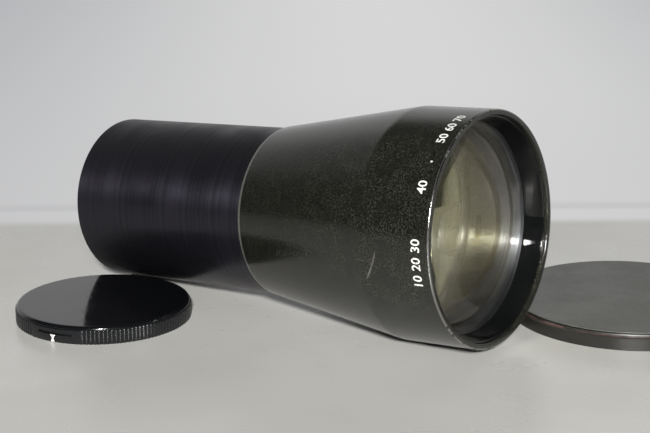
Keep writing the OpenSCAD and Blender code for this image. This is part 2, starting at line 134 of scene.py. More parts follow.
class LensSizes(bpy.types.PropertyGroup):
    """Sizes of the lens that the frame leaves to the maker"""

    segments: IntProperty(
        name="Segments", description="Steps round a turned piece", default=256, min=32, max=512,
    )
    seat_chamfer: length("Seat chamfer", "Chamfer at the rear end of the seat", 0.8)
    bore_chamfer: length("Bore chamfer", "Chamfer of the bore at the rear end", 0.5)
    spigot_wall: length("Spigot wall", "Wall of the spigot outside the bore", 1.5)
    trap_step: length("Trap step", "How far the light trap stays inside the bore", 1.0)
    trap_depth: length("Trap depth", "Depth of one groove of the light trap", 0.8)
    trap_pitch: length("Trap pitch", "Distance between the grooves of the light trap", 3.0, 0.5)
    shoulder_t: length("Shoulder", "Thickness of the shoulder in front of the stop", 2.2)
    clear_r: length("Clear radius", "Radius of the light path behind the stop", 23.5)
    collar_step: length("Collar step", "How far the housing stands proud of the seat", 0.85)
    collar_chamfer: length("Collar chamfer", "Chamfer on the rear edge of the housing", 0.6)
    housing_wall: length("Housing wall", "Wall of the housing round the hollow cone", 2.6)
    flange_w: length("Flange", "Width of the flange in front of the baffle", 1.3)
    shoulder_w: length("Front shoulder", "Width of the flange behind the negative cell", 2.0)
    rim_wall: length("Rim wall", "Wall of the rim at the very front", 2.2)
    rim_round: length("Rim rounding", "Rounding on the outside of the rim", 1.0)
    rim_inner_round: length("Inner rim rounding", "Rounding on the inside of the rim", 0.7)
    clearance: length("Clearance", "Radial clearance of a ring in its bore", 0.05)
    glass_clearance: length("Glass clearance", "Radial clearance of glass in its seat", 0.1)
    edge_break: length("Edge break", "Size of the broken edges of turned metal", 0.15)
    kink_soft: length("Kink softness", "How far paint softens the kink of the cone", 1.2)
    ring_face: length("Ring face", "Width of the front face of the retaining ring", 0.7)
    ring_lip_t: length("Ring lip", "Thickness of the retaining ring at the glass", 0.6)
    number_height: length("Number height", "Height of the numbers near the rim", 3.3)
    number_station: length("Number place", "Distance of the numbers behind the rim", 5.0)
    number_proud: length("Number fill", "How far the filling stands proud of the paint", 0.03)
    number_deep: length("Number depth", "How far the filling reaches under the paint", 0.2)


class GlassSizes(bpy.types.PropertyGroup):
    """Radii of the polished surfaces"""

    first_front: length("First front", "Front radius of the front element", 110)
    first_rear: length("First rear", "Rear radius of the front element", 330)
    second_front: length("Second front", "Front radius of the second element", 78)
    second_rear: length("Second rear", "Rear radius of the second element", 190)
    third_front: length("Third front", "Front radius of the third element", 160)
    third_rear: length("Third rear", "Rear radius of the third element", 46)
    flint_front: length("Flint front", "Front radius of the flint glass", 130)
    cement: length("Cemented surface", "Radius of the cemented surface", 44)
    crown_rear: length("Crown rear", "Rear radius of the crown glass", 90)
    last_front: length("Rear front", "Front radius of the rear element", 70)
    last_rear: length("Rear rear", "Rear radius of the rear element", 160)
    land: length("Land", "Flat land round a hollow surface", 1.0)
    third_land: length("Third land", "Flat land round the hollow of the third element", 4.5)


class CapSizes(bpy.types.PropertyGroup):
    """Sizes of the two caps"""

    ribs: IntProperty(
        name="Ribs", description="Ribs round the skirt of the rear cap", default=132, min=60, max=200,
    )
    rib_depth: length("Rib depth", "Depth of the valleys between the ribs", 0.3)
    rib_ledge: length("Rib ledge", "Step from the ribs to the rounded top", 0.1)
    rear_round: length("Rear cap rounding", "Rounding of the top edge of the rear cap", 1.2)
    panel: length("Panel", "Length of the smooth panel between the ribs", 21)
    slot: length("Slot", "Length of the slot in the panel", 14)
    slot_h: length("Slot height", "Height of the slot", 0.9)
    slot_z: length("Slot place", "Height of the slot above the table", 2.9)
    slot_depth: length("Slot depth", "Depth of the slot", 0.8)
    slot_turn: degrees("Slot turn", "Turn of the slot about the cap's centre", -80)
    groove_depth: length("Groove depth", "Depth of the groove of the front cap", 0.6)
    groove_h: length("Groove height", "Height of the groove of the front cap", 0.35)
    groove_edge: length("Groove edge", "Thickness of the edge above the groove", 0.5)
    bead_h: length("Bead height", "Height of the rounded bead", 1.6)
    bead_proud: length("Bead", "How far the bead stands proud of the skirt", 0.2)


class Finishes(bpy.types.PropertyGroup):
    """Colours of the finishes"""

    anodised: colour("Anodised", "Black anodised barrel", "#0d0d10")
    anodised_sheen: colour("Anodised sheen", "Violet cast of light on the barrel", "#e6ddf6")
    hammered: colour("Hammered paint", "Black hammered paint", "#11110e")
    # Paint grain colour, also used for painted glints of the flash on the front cylinder
    hammered_grain_and_glint: colour("Paint grain", "Paler grains in the paint", "#36362f")
    worn_metal: colour("Worn metal", "Aluminium where the paint has worn off", "#9a9995")
    # Primer colour of the chips and scratch, also used for a painted highlight along the collar chamfer
    primer_and_edge_highlight: colour("Primer", "Primer where the paint is chipped or scratched", "#c9c7be")
    gloss_black: colour("Gloss black", "Enamel of the front retaining ring", "#0b0c0c")
    satin_black: colour("Satin black", "Anodising inside the lens", "#7b7e92")
    satin_dust: colour("Dust", "Dust on the anodising inside the lens", "#9396a8")
    glass: colour("Glass", "Tint of the glass", "#eeecdc")
    glass_shadow: colour("Glass shadow", "Light that a lamp sends through one surface", "#efeee6")
    plastic: colour("Plastic", "Black plastic of the rear cap", "#0c0d0f")
    lacquer: colour("Cap lacquer", "Grained lacquer of the front cap", "#454541")
    # Painted shade: the skirt's colour is darker than the top
    shaded_skirt_lacquer: colour("Handled lacquer", "Lacquer of the skirt, darkened by hands", "#1d1c18")
    rubbed_bead: colour("Rubbed bead", "Reddish undercoat where the bead is rubbed", "#4a3634")
    lacquer_grain: colour("Lacquer grain", "Paler grains in the lacquer", "#54544f")
    ground_edge: colour("Ground edge", "Blackened edges of the glass", "#5c5b5e")
    steel: colour("Steel", "Grub screw", "#8a8a8c")
    filling: colour("Filling", "White filling of the numbers and the mark", "#e9e8e2")
    filling_dirt: colour("Filling dirt", "Dirt in the white filling", "#a9a8a2")
    table: colour("Table", "Painted table top", "#cbcac5")
    table_dark: colour("Table, darker", "Darker patches of the table top", "#c2c1bb")
    backdrop: colour("Backdrop", "Pale wall behind the table", "#d6d6d6")
    # Painted shade towards the wall's sides
    wall_side_painted_shade: colour("Wall sides", "Wall away from its lightest part", "#b4b5b8")
    wall_foot: colour("Wall foot", "Wall just above the table", "#c6c6c7")
    wall_line: colour("Wall line", "Soft line along the foot of the wall", "#b2b2b4")
    room: colour("Room", "Dim room behind the camera", "#2c2c2d")


class StageSizes(bpy.types.PropertyGroup):
    """Camera, table and light"""

    camera_along: length("Camera along", "Camera's distance from the rear end along X", 445.97)
    camera_aside: length("Camera aside", "Camera's distance from the rear end along Y", -482.84, -2000)
    camera_height: length("Camera height", "Height of the camera above the table", 200.56)
    heading: degrees("Heading", "Turn of the camera from +Y towards -X", 35.814)
    pitch: degrees("Pitch", "How far the camera looks down", 15.304)
    roll: degrees("Roll", "Roll of the camera", -0.301)
    focal: FloatProperty(
        name="Focal length", description="Focal length on a 36 mm sensor, in millimetres",
        default=91.785, min=10,
    )
    table_depth: length("Table depth", "Distance from the camera to the far table edge", 724)
    table_size: length("Floor size", "Side of the floor", 4000)
    lit_height: length("Lit height", "Height of the point at which the lamps are turned", 40)
    window_rise: degrees("Window rise", "Height of the window, as an angle above the table", 24)
    window_distance: length("Window distance", "Distance of the window from the lens", 3200)
    window_size: length("Window size", "Width of the window", 320)
    window_power: watts("Window power", "Power of the window, in watts", 182.0)
    flash_above: length("Flash height", "Height of the flash above the camera", 100)
    flash_size: length("Flash size", "Width of the flash", 40)
    flash_power: watts("Flash power", "Power of the flash, in watts", 0.55)


def add_node(tree, kind, inputs=None, **settings):
    """Adds a node with its settings, and fills its inputs with values or other nodes' sockets."""
    made = tree.nodes.new(kind)
    for name, value in settings.items():
        setattr(made, name, value)
    for name, value in (inputs or {}).items():
        if isinstance(value, bpy.types.NodeSocket):
            tree.links.new(value, made.inputs[name])
        else:
            made.inputs[name].default_value = value
    return made


def four(rgb):
    """Red, green and blue with full opacity."""
    return (*rgb, 1.0)


class Finish:
    """A material under construction: its tree, its Principled shader and its pattern space."""

    def __init__(self, name, place=(0.0, 0.0, 0.0), turn=(0.0, 0.0, 0.0), **constants):
        self.material = bpy.data.materials.new(name)
        self.material.use_nodes = True
        self.tree = self.material.node_tree
        self.shader = self.tree.nodes["Principled BSDF"]
        for socket, value in constants.items():
            self.shader.inputs[socket.replace("_", " ")].default_value = value
        source = self.add("ShaderNodeTexCoord").outputs["Object"]
        mapping = self.add(
            "ShaderNodeMapping", {"Vector": source, "Location": place, "Rotation": turn},
            vector_type="TEXTURE",
        )
        self.space = mapping.outputs[0]

    def add(self, kind, inputs=None, **settings):
        return add_node(self.tree, kind, inputs, **settings)

    def math(self, operation, a, b=0.0):
        return self.add("ShaderNodeMath", {0: a, 1: b}, operation=operation).outputs[0]

    def noise(self, size, detail=3.0, rough=0.55, w=None):
        """Noise whose largest grains are about size metres wide."""
        inputs = {"Scale": 1 / size, "Detail": detail, "Roughness": rough}
        if w is not None:
            return self.add("ShaderNodeTexNoise", {**inputs, "W": w}, noise_dimensions="1D").outputs[0]
        return self.add("ShaderNodeTexNoise", {**inputs, "Vector": self.space}).outputs[0]

    def ramp(self, value, low, high, out_low=0.0, out_high=1.0, smooth=True):
        """Maps a value from one range to another, clamped."""
        made = self.add(
            "ShaderNodeMapRange",
            {"Value": value, "From Min": low, "From Max": high, "To Min": out_low, "To Max": out_high},
            interpolation_type="SMOOTHSTEP" if smooth else "LINEAR",
        )
        return made.outputs[0]

    def varied(self, size, low, high, detail=3.0):
        """A value that drifts between two limits, in patches about size metres wide."""
        return self.ramp(self.noise(size, detail), 0.3, 0.7, low, high)

    def blend(self, factor, first, second):
        """Mixes two colours."""
        made = self.add("ShaderNodeMix", data_type="RGBA")
        for socket, value in ((made.inputs[0], factor), (made.inputs[6], first), (made.inputs[7], second)):
            if isinstance(value, bpy.types.NodeSocket):
                self.tree.links.new(value, socket)
            else:
                socket.default_value = value
        return made.outputs[2]

    def bump(self, height, depth, strength):
        """A bump of the given depth in metres."""
        inputs = {"Height": height, "Distance": depth, "Strength": strength}
        return self.add("ShaderNodeBump", inputs).outputs[0]

    def axes(self):
        """X, Y and Z of the pattern space."""
        return self.add("ShaderNodeSeparateXYZ", {0: self.space}).outputs

    def feed(self, **sources):
        """Links the shader's inputs to what drives them."""
        for socket, value in sources.items():
            self.tree.links.new(value, self.shader.inputs[socket.replace("_", " ")])

    def radius(self):
        """Distance from the Z axis of the pattern space."""
        x, y, _ = self.axes()
        squares = self.math("ADD", self.math("MULTIPLY", x, x), self.math("MULTIPLY", y, y))
        return self.math("SQRT", squares)

    @staticmethod
    def middle(at, plan):
        """Where the line straight ahead of the camera lies, measured across it."""
        return at.dot(plan.cross(Vector((0, 0, 1))))

    def stroke(self, centre, along, size):
        """1 inside a thin straight mark on the surface, given by its middle, direction and size."""
        turn = Vector(along).to_track_quat("X", "Z").to_euler()
        source = self.add("ShaderNodeTexCoord").outputs["Object"]
        mapping = self.add(
            "ShaderNodeMapping",
            {"Vector": source, "Location": centre, "Rotation": turn, "Scale": size},
            vector_type="TEXTURE",
        )
        distance = self.add("ShaderNodeVectorMath", {0: mapping.outputs[0]}, operation="LENGTH")
        return self.ramp(distance.outputs["Value"], 1.0, 0.6)


def black_anodised_aluminium():
    """Turned aluminium, anodised black: fine rings round the barrel spread the light along it."""
    finishes = bpy.context.scene.lens_finishes
    made = Finish(
        "black_anodised_aluminium", REAR_END, LAID_DOWN, Anisotropic=0.85, IOR=1.5,
        Base_Color=four(finishes.anodised), Specular_Tint=four(finishes.anodised_sheen),
    )
    station = made.axes()[2]
    # The real lines are about 0.1 mm apart, and are drawn from 1.6 mm down so that they show
    lines = made.noise(1.6 * MM, detail=6.0, rough=0.75, w=station)
    broad = made.noise(11 * MM, detail=2.0, w=station)
    gleam = made.ramp(lines, 0.3, 0.72, 0.38, 0.6)
    rough = made.ramp(broad, 0.3, 0.7, 0.29, 0.35)
    made.feed(
        Specular_IOR_Level=made.math("ADD", gleam, made.ramp(broad, 0.3, 0.7, -0.04, 0.04)),
        Roughness=made.math("ADD", rough, made.varied(14 * MM, 0.0, 0.06, detail=4.0)),
        Normal=made.bump(lines, 0.03 * MM, 0.15),
        Tangent=along_axis(made),
    )
    return made.material


# Places of the chip and of both ends of the scratch: degrees from the top, mm behind the rim
CHIP = (45.0, 4.7)
SCRATCH = ((88.7, 21.1), (104.3, 26.5))


def black_hammered_paint():
    """Sprayed hammer-finish paint: domed grains of half a millimetre to one, glossy on top."""
    finishes = bpy.context.scene.lens_finishes
    made = Finish("black_hammered_paint", REAR_END, LAID_DOWN, IOR=1.57)
    sizes = bpy.context.scene.lens_sizes
    cells = made.add(
        "ShaderNodeTexVoronoi", {"Vector": made.space, "Scale": 1 / (0.9 * MM), "Smoothness": 0.4},
        feature="SMOOTH_F1",
    ).outputs["Distance"]
    grains = made.noise(0.5 * MM, detail=1.0)
    cloud = made.noise(7 * MM, detail=3.0)
    height = made.math("ADD", made.math("MULTIPLY", cells, -1.0), made.math("MULTIPLY", grains, 1.2))
    pale = made.math("MULTIPLY", made.ramp(grains, 0.4, 0.72), made.ramp(cloud, 0.3, 0.65, 0.45, 0.9))
    # Partly painted highlight: the pale grains are the paint's own grain, made stronger on the front
    # cylinder than further back as painted glints of the flash
    painted_glint_share = made.ramp(made.axes()[2], 100 * MM, 150 * MM, 0.5, 1.0)
    pale = made.math("MULTIPLY", pale, painted_glint_share)
    paint = made.blend(pale, four(finishes.hammered), four(finishes.hammered_grain_and_glint))
    # Worn to bright metal along the outer edge of the rim, in patches
    station, radius = made.axes()[2], made.radius()
    front_r = RIM["dims"]["r_mm"] * MM
    rim_front = station_of(RIM) + RIM["dims"]["length_mm"] / 2 * MM + sizes.rim_round
    at_edge = made.math(
        "MULTIPLY",
        made.ramp(station, rim_front - 0.6 * MM, rim_front - 0.4 * MM),
        made.ramp(radius, front_r - 0.6 * MM, front_r - 0.4 * MM),
    )
    worn = made.math("MULTIPLY", at_edge, made.ramp(made.noise(3 * MM, detail=4.0), 0.36, 0.5))
    # A chip down to the primer behind the rim, and a long pale scratch where the cone begins
    chip, high, low = (
        on_lens(front_r, math.radians(turn), rim_front - behind * MM) for turn, behind in (CHIP, *SCRATCH)
    )
    chipped = made.stroke(chip, AXIS, (0.6 * MM, 0.45 * MM, 0.45 * MM))
    scratched = made.stroke((high + low) / 2, low - high, (6.3 * MM, 0.32 * MM, 1.2 * MM))
    primer_and_edge_highlight = made.math("MAXIMUM", chipped, made.math("MULTIPLY", scratched, 0.25))
    # Painted highlight: a faint line of primer colour on the chamfer where the housing meets the barrel
    # stands in for the chamfer's edge highlight
    collar = station_of(SEAT) + SEAT["dims"]["length_mm"] / 2 * MM + sizes.seat_chamfer
    chamfer = collar + sizes.collar_chamfer
    primer_and_edge_highlight = made.math("MAXIMUM", primer_and_edge_highlight, made.ramp(station, chamfer, chamfer + 0.3 * MM, 0.12, 0.0))
    paint = made.blend(primer_and_edge_highlight, paint, four(finishes.primer_and_edge_highlight))
    made.feed(
        Base_Color=made.blend(worn, paint, four(finishes.worn_metal)),
        Metallic=worn,
        Roughness=made.varied(1.5 * MM, 0.13, 0.2),
        Normal=made.bump(height, 0.05 * MM, 0.35),
    )
    return made.material


def along_axis(made):
    """The optical axis as a direction, along which turning lines spread a highlight."""
    return made.add("ShaderNodeCombineXYZ", dict(enumerate(AXIS))).outputs[0]


def gloss_black_enamel():
    """Gloss enamel over a turned ring: deep black, and a thin glint where the lines cross it."""
    made = Finish(
        "gloss_black_enamel", REAR_END, LAID_DOWN, IOR=1.5, Anisotropic=0.9,
        Base_Color=four(bpy.context.scene.lens_finishes.gloss_black),
    )
    lines = made.noise(0.5 * MM, w=made.axes()[2])
    made.feed(
        Roughness=made.varied(4 * MM, 0.05, 0.08),
        Normal=made.bump(lines, 0.02 * MM, 0.3),
        Tangent=along_axis(made),
    )
    return made.material


def satin_black_anodising():
    """Turned cells inside the lens, anodised satin black: olive cast, and one streak along the axis."""
    finishes = bpy.context.scene.lens_finishes
    made = Finish("satin_black_anodising", REAR_END, LAID_DOWN, Metallic=1.0, Anisotropic=0.95)
    dust = made.noise(0.4 * MM, detail=2.0)
    made.feed(
        Base_Color=made.blend(
            made.ramp(dust, 0.45, 0.75), four(finishes.satin_black), four(finishes.satin_dust),
        ),
        Roughness=made.varied(3 * MM, 0.34, 0.42),
        Normal=made.bump(made.noise(0.8 * MM, w=made.axes()[2]), 0.02 * MM, 0.5),
        Tangent=along_axis(made),
    )
    return made.material


def blackened_glass_edge():
    """Ground glass edge under black paint: its grinding lines draw a lamp out into one long streak."""
    made = Finish(
        "blackened_glass_edge", REAR_END, LAID_DOWN, Metallic=1.0, Anisotropic=0.95,
        Base_Color=four(bpy.context.scene.lens_finishes.ground_edge),
    )
    made.feed(
        Roughness=made.varied(2 * MM, 0.4, 0.5),
        Normal=made.bump(made.noise(0.6 * MM, w=made.axes()[2]), 0.02 * MM, 0.5),
        Tangent=along_axis(made),
    )
    return made.material


def coated_glass():
    """Polished optical glass with one hard coating, which turns khaki where it is seen aslant."""
    finishes = bpy.context.scene.lens_finishes
    made = Finish(
        "coated_glass", REAR_END, LAID_DOWN,
        Transmission_Weight=1.0, Roughness=0.0, IOR=1.47, Base_Color=four(finishes.glass),
        # A quarter of a wave of green light
        Thin_Film_Thickness=115.0, Thin_Film_IOR=1.38,
    )
    # Lamps reach what is behind the glass
    clear = made.add("ShaderNodeBsdfTransparent", {"Color": four(finishes.glass_shadow)})
    rays = made.add("ShaderNodeLightPath")
    mix = made.add("ShaderNodeMixShader", {
        0: rays.outputs["Is Shadow Ray"], 1: made.shader.outputs[0], 2: clear.outputs[0],
    })
    made.tree.links.new(mix.outputs[0], made.tree.nodes["Material Output"].inputs[0])
    return made.material


def black_moulded_plastic(place):
    """Moulded phenolic plastic: mirror gloss with fine hair scratches and a greasy smudge."""
    made = Finish(
        "black_moulded_plastic", place, IOR=1.52,
        Base_Color=four(bpy.context.scene.lens_finishes.plastic),
    )
    hair = made.add(
        "ShaderNodeTexWave",
        {"Vector": made.space, "Scale": 1 / (2.5 * MM), "Distortion": 14.0, "Detail": 3.0,
         "Detail Scale": 0.6},
    ).outputs["Fac"]
    haze = made.noise(6 * MM, detail=4.0)
    # Grease in the ribs of the skirt dulls them
    greasy = made.ramp(made.axes()[2], 5 * MM, 5.5 * MM, 0.16, 0.0)
    rough = made.math("ADD", made.ramp(haze, 0.35, 0.75, 0.08, 0.17), made.ramp(hair, 0.97, 1.0, 0.0, 0.06))
    made.feed(
        Roughness=made.math("ADD", greasy, rough),
        Normal=made.bump(made.noise(9 * MM, detail=2.0), 0.03 * MM, 0.25),
    )
    return made.material


def grained_cap_lacquer(place):
    """Stoved wrinkle lacquer on spun metal: matt, grained, rubbed smoother on the bead."""
    finishes = bpy.context.scene.lens_finishes
    made = Finish("grained_cap_lacquer", place, IOR=1.5)
    grain = made.noise(0.8 * MM, detail=4.0, rough=0.65)
    cloud = made.noise(12 * MM, detail=4.0)
    mixed = made.math("MULTIPLY", made.ramp(grain, 0.4, 0.65), made.ramp(cloud, 0.25, 0.7, 0.5, 1.0))
    top = made.blend(mixed, four(finishes.lacquer), four(finishes.lacquer_grain))
    # Painted shade: the skirt is painted darker than the top, and the bead is rubbed down to a reddish
    # undercoat
    height = made.axes()[2]
    skirt = made.ramp(height, 6.3 * MM, 6.7 * MM, 1.0, 0.0)
    above, below = made.ramp(height, 4.7 * MM, 5.2 * MM), made.ramp(height, 5.5 * MM, 6 * MM, 1.0, 0.0)
    on_bead = made.math("MULTIPLY", above, below)
    rubbed = made.math("MULTIPLY", on_bead, made.ramp(made.noise(5 * MM), 0.35, 0.6))
    side = made.blend(rubbed, four(finishes.shaded_skirt_lacquer), four(finishes.rubbed_bead))
    rough = made.ramp(cloud, 0.3, 0.7, 0.36, 0.46)
    made.feed(
        Base_Color=made.blend(skirt, top, side),
        Roughness=made.math("SUBTRACT", rough, made.math("MULTIPLY", rubbed, 0.12)),
        Normal=made.bump(grain, 0.05 * MM, 0.5),
    )
    return made.material


def turned_steel():
    """Turned and hardened screw steel: grey, with a brushed slot."""
    made = Finish(
        "turned_steel", REAR_END, LAID_DOWN, Metallic=1.0,
        Base_Color=four(bpy.context.scene.lens_finishes.steel),
    )
    made.feed(Roughness=made.varied(0.3 * MM, 0.3, 0.5))
    return made.material


def white_filling():
    """White enamel rubbed into an engraving: flat, slightly dirty, uneven at the edges."""
    finishes = bpy.context.scene.lens_finishes
    made = Finish("white_filling", IOR=1.5)
    dirt = made.ramp(made.noise(0.8 * MM, detail=3.0), 0.3, 0.55)
    made.feed(
        Base_Color=made.blend(dirt, four(finishes.filling_dirt), four(finishes.filling)),
        Roughness=made.varied(1 * MM, 0.45, 0.65),
    )
    return made.material


def new_tree(name, inputs):
    """A Geometry Nodes tree with named inputs, and its input node's sockets by name."""
    tree = bpy.data.node_groups.new(name, "GeometryNodeTree")
    tree.interface.new_socket("Geometry", in_out="INPUT", socket_type="NodeSocketGeometry")
    for label, kind in inputs.items():
        tree.interface.new_socket(label, in_out="INPUT", socket_type="NodeSocket" + kind)
    tree.interface.new_socket("Geometry", in_out="OUTPUT", socket_type="NodeSocketGeometry")
    return tree, tree.nodes.new("NodeGroupInput").outputs


def close_tree(tree, geometry, material):
    """Ends a tree in Realize Instances and Set Material."""
    real = add_node(tree, "GeometryNodeRealizeInstances", {0: geometry})
    dressed = add_node(tree, "GeometryNodeSetMaterial", {"Geometry": real.outputs[0], "Material": material})
    add_node(tree, "NodeGroupOutput", {0: dressed.outputs[0]})


SWEEP_INPUTS = {
    "Segments": "Int", "Sweep radius": "Float", "Place": "Vector", "Turn": "Rotation",
    "Finish": "Material",
}


def sweep(tree, given):
    """Sweeps a profile round the Z axis and closes its seams and poles."""
    circle = add_node(
        tree, "GeometryNodeCurvePrimitiveCircle",
        {"Resolution": given["Segments"], "Radius": given["Sweep radius"]},
    )
    swept = add_node(
        tree, "GeometryNodeCurveToMesh",
        {"Curve": circle.outputs[0], "Profile Curve": given["Geometry"]},
    )
    return add_node(
        tree, "GeometryNodeMergeByDistance", {"Geometry": swept.outputs[0], "Distance": 0.002 * MM},
    ).outputs[0]


def put_in_place(tree, given, geometry):
    """Turns and moves the finished shape to where it belongs."""
    return add_node(
        tree, "GeometryNodeTransform",
        {"Geometry": geometry, "Translation": given["Place"], "Rotation": given["Turn"]},
    ).outputs[0]


def turned_part_tree():
    """Profile to turned part."""
    tree, given = new_tree("turned_part", SWEEP_INPUTS)
    close_tree(tree, put_in_place(tree, given, sweep(tree, given)), given["Finish"])
    return tree


def ribbed_cap_tree():
    """Profile to cap, with ribs round the skirt, a smooth panel and a slot in the panel."""
    tree, given = new_tree("ribbed_cap", {
        **SWEEP_INPUTS, "Ribs": "Float", "Rib depth": "Float", "Skirt radius": "Float",
        "Skirt height": "Float", "Panel angle": "Float", "Slot angle": "Float",
        "Slot low": "Float", "Slot high": "Float", "Slot depth": "Float",
    })

    def calc(operation, a, b=0.0):
        return add_node(tree, "ShaderNodeMath", {0: a, 1: b}, operation=operation).outputs[0]

    position = add_node(tree, "GeometryNodeInputPosition").outputs[0]
    x, y, z = add_node(tree, "ShaderNodeSeparateXYZ", {0: position}).outputs
    angle = calc("ABSOLUTE", calc("ARCTAN2", y, x))
    radial = add_node(tree, "ShaderNodeCombineXYZ", {0: x, 1: y}).outputs[0]
    outward = add_node(tree, "ShaderNodeVectorMath", {0: radial}, operation="NORMALIZE").outputs[0]
    radius = add_node(tree, "ShaderNodeVectorMath", {0: radial}, operation="LENGTH").outputs["Value"]
    on_skirt = calc("MULTIPLY", calc("GREATER_THAN", radius, given["Skirt radius"]),
                    calc("LESS_THAN", z, given["Skirt height"]))
    ribbed = calc("MULTIPLY", on_skirt, calc("GREATER_THAN", angle, given["Panel angle"]))
    phase = calc("MULTIPLY", angle, calc("MULTIPLY", given["Ribs"], 0.5))
    half_wave = calc("ABSOLUTE", calc("COSINE", phase))
    valley = calc("MULTIPLY", given["Rib depth"], calc("SUBTRACT", 1.0, half_wave))
    between = calc("MULTIPLY", calc("GREATER_THAN", z, given["Slot low"]),
                   calc("LESS_THAN", z, given["Slot high"]))
    in_slot = calc("MULTIPLY", calc("MULTIPLY", on_skirt, between),
                   calc("LESS_THAN", angle, given["Slot angle"]))
    inward = calc("ADD", calc("MULTIPLY", ribbed, valley), calc("MULTIPLY", in_slot, given["Slot depth"]))
    offset = add_node(
        tree, "ShaderNodeVectorMath", {0: outward, "Scale": calc("MULTIPLY", inward, -1.0)},
        operation="SCALE",
    ).outputs[0]
    shaped = add_node(tree, "GeometryNodeSetPosition", {"Geometry": sweep(tree, given), "Offset": offset})
    close_tree(tree, put_in_place(tree, given, shaped.outputs[0]), given["Finish"])
    return tree


def set_inputs(modifier, values):
    """Sets a modifier's inputs by the names of its tree's sockets."""
    identifiers = {
        item.name: item.identifier for item in modifier.node_group.interface.items_tree
        if item.item_type == "SOCKET" and item.in_out == "INPUT"
    }
    for name, value in values.items():
        modifier[identifiers[name]] = value


def smooth_mesh(mesh, sharp_degrees=40):
    """Merged, facing outwards, smooth but for its sharp edges."""
    work = bmesh.new()
    work.from_mesh(mesh)
    bmesh.ops.remove_doubles(work, verts=work.verts, dist=0.001 * MM)
    bmesh.ops.recalc_face_normals(work, faces=work.faces)
    work.to_mesh(mesh)
    work.free()
    mesh.shade_smooth()
    mesh.set_sharp_from_angle(angle=math.radians(sharp_degrees))


def as_piece(name, mesh, body, replaced=()):
    """Makes a mesh a piece of the object, riding on its body and standing for CAD nodes."""
    piece = bpy.data.objects.new(name, mesh)
    bpy.context.scene.collection.objects.link(piece)
    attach(piece, body)
    if replaced:
        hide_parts(*replaced)
    return piece


def softened(points, cut, steps=4):
    """A closed profile with its corners rounded. A point may carry its own cut as a third value."""
    result = []
    count = len(points)
    for i, point in enumerate(points):
        corner = Vector(point[:2])
        own_cut = point[2] if len(point) > 2 else cut
        before = Vector(points[i - 1][:2]) - corner
        after = Vector(points[(i + 1) % count][:2]) - corner
        reach = min(own_cut, 0.3 * before.length, 0.3 * after.length)
        start, end = corner + before.normalized() * reach, corner + after.normalized() * reach
        result.append(start + before.normalized() * reach * 0.4)
        for k in range(steps + 1):
            t = k / steps
            result.append(start * (1 - t) ** 2 + corner * 2 * t * (1 - t) + end * t ** 2)
        result.append(end + after.normalized() * reach * 0.4)
    return result


def turned_mesh(name, points, tree, values, closed=True):
    """Sweeps a profile of (radius, height) points with a Geometry Nodes tree into a plain mesh."""
    sweep_radius = max(p[0] for p in points) / 2
    curve = bpy.data.curves.new(name + "_profile", "CURVE")
    curve.dimensions = "3D"
    spline = curve.splines.new("POLY")
    spline.points.add(len(points) - 1)
    # The sweep lays a profile's Y downwards
    for target, point in zip(spline.points, points):
        target.co = (point[0] - sweep_radius, -point[1], 0.0, 1.0)
    spline.use_cyclic_u = closed
    holder = bpy.data.objects.new(name + "_profile", curve)
    bpy.context.scene.collection.objects.link(holder)
    modifier = holder.modifiers.new("turned", "NODES")
    modifier.node_group = tree
    set_inputs(modifier, {"Sweep radius": sweep_radius, **values})
    graph = bpy.context.evaluated_depsgraph_get()
    mesh = bpy.data.meshes.new_from_object(holder.evaluated_get(graph))
    bpy.data.objects.remove(holder)
    mesh.name = name
    smooth_mesh(mesh)
    return mesh


def turned_piece(name, points, finish, replaced, closed=True):
    """A piece of the lens, turned round the optical axis."""
    values = {
        "Segments": bpy.context.scene.lens_sizes.segments, "Place": REAR_END, "Turn": LAID_DOWN,
        "Finish": finish,
    }
    mesh = turned_mesh(name, points, tree_named("turned_part", turned_part_tree), values, closed)
    return as_piece(name, mesh, "lens", [replaced])


def tree_named(name, make):
    """The Geometry Nodes tree of that name, made when it is first asked for."""
    return bpy.data.node_groups.get(name) or make()


def material_named(name, make, *given):
    """The material of that name, made when it is first asked for."""
    return bpy.data.materials.get(name) or make(*given)


def sag(radius, r):
    """How far a spherical surface falls away from its vertex at radius r."""
    return radius - math.sqrt(radius * radius - r * r)


def surface(radius, vertex, edge, steps=28):
    """Points of a spherical surface from the axis to its edge. A negative radius bulges backwards."""
    sign = math.copysign(1, radius)
    return [
        (edge * i / steps, vertex - sign * sag(abs(radius), edge * i / steps))
        for i in range(steps + 1)
    ]


def barrel_profile():
    """Seat, spigot, light trap and bore of the mounting barrel."""
    sizes = bpy.context.scene.lens_sizes
    seat_r = SEAT["dims"]["r_mm"] * MM
    joint = SEAT["dims"]["length_mm"] * MM + sizes.seat_chamfer
    spigot_end = Reach("mounting_barrel").front
    bore_r = Reach("cell_clamp_ring").outer + sizes.clearance
    spigot_r = bore_r + sizes.spigot_wall
    trap_r = bore_r - sizes.trap_step
    stop_front = Reach("aperture_stop").front
    trap_start = stop_front + sizes.shoulder_t
    pitch = sizes.trap_pitch
    count = int((joint - trap_start - pitch) / pitch)
    grooves = []
    for i in reversed(range(count)):
        base = trap_start + pitch * (1 + i)
        grooves += [
            (trap_r, base + 0.8 * pitch), (trap_r + sizes.trap_depth, base + 0.4 * pitch), (trap_r, base),
        ]
    return [
        (bore_r + sizes.bore_chamfer, 0), (seat_r - sizes.seat_chamfer, 0),
        (seat_r, sizes.seat_chamfer), (seat_r, joint), (spigot_r, joint), (spigot_r, spigot_end),
        (trap_r, spigot_end), *grooves, (trap_r, trap_start), (sizes.clear_r, trap_start),
        (sizes.clear_r, stop_front), (bore_r, stop_front), (bore_r, sizes.bore_chamfer),
    ]


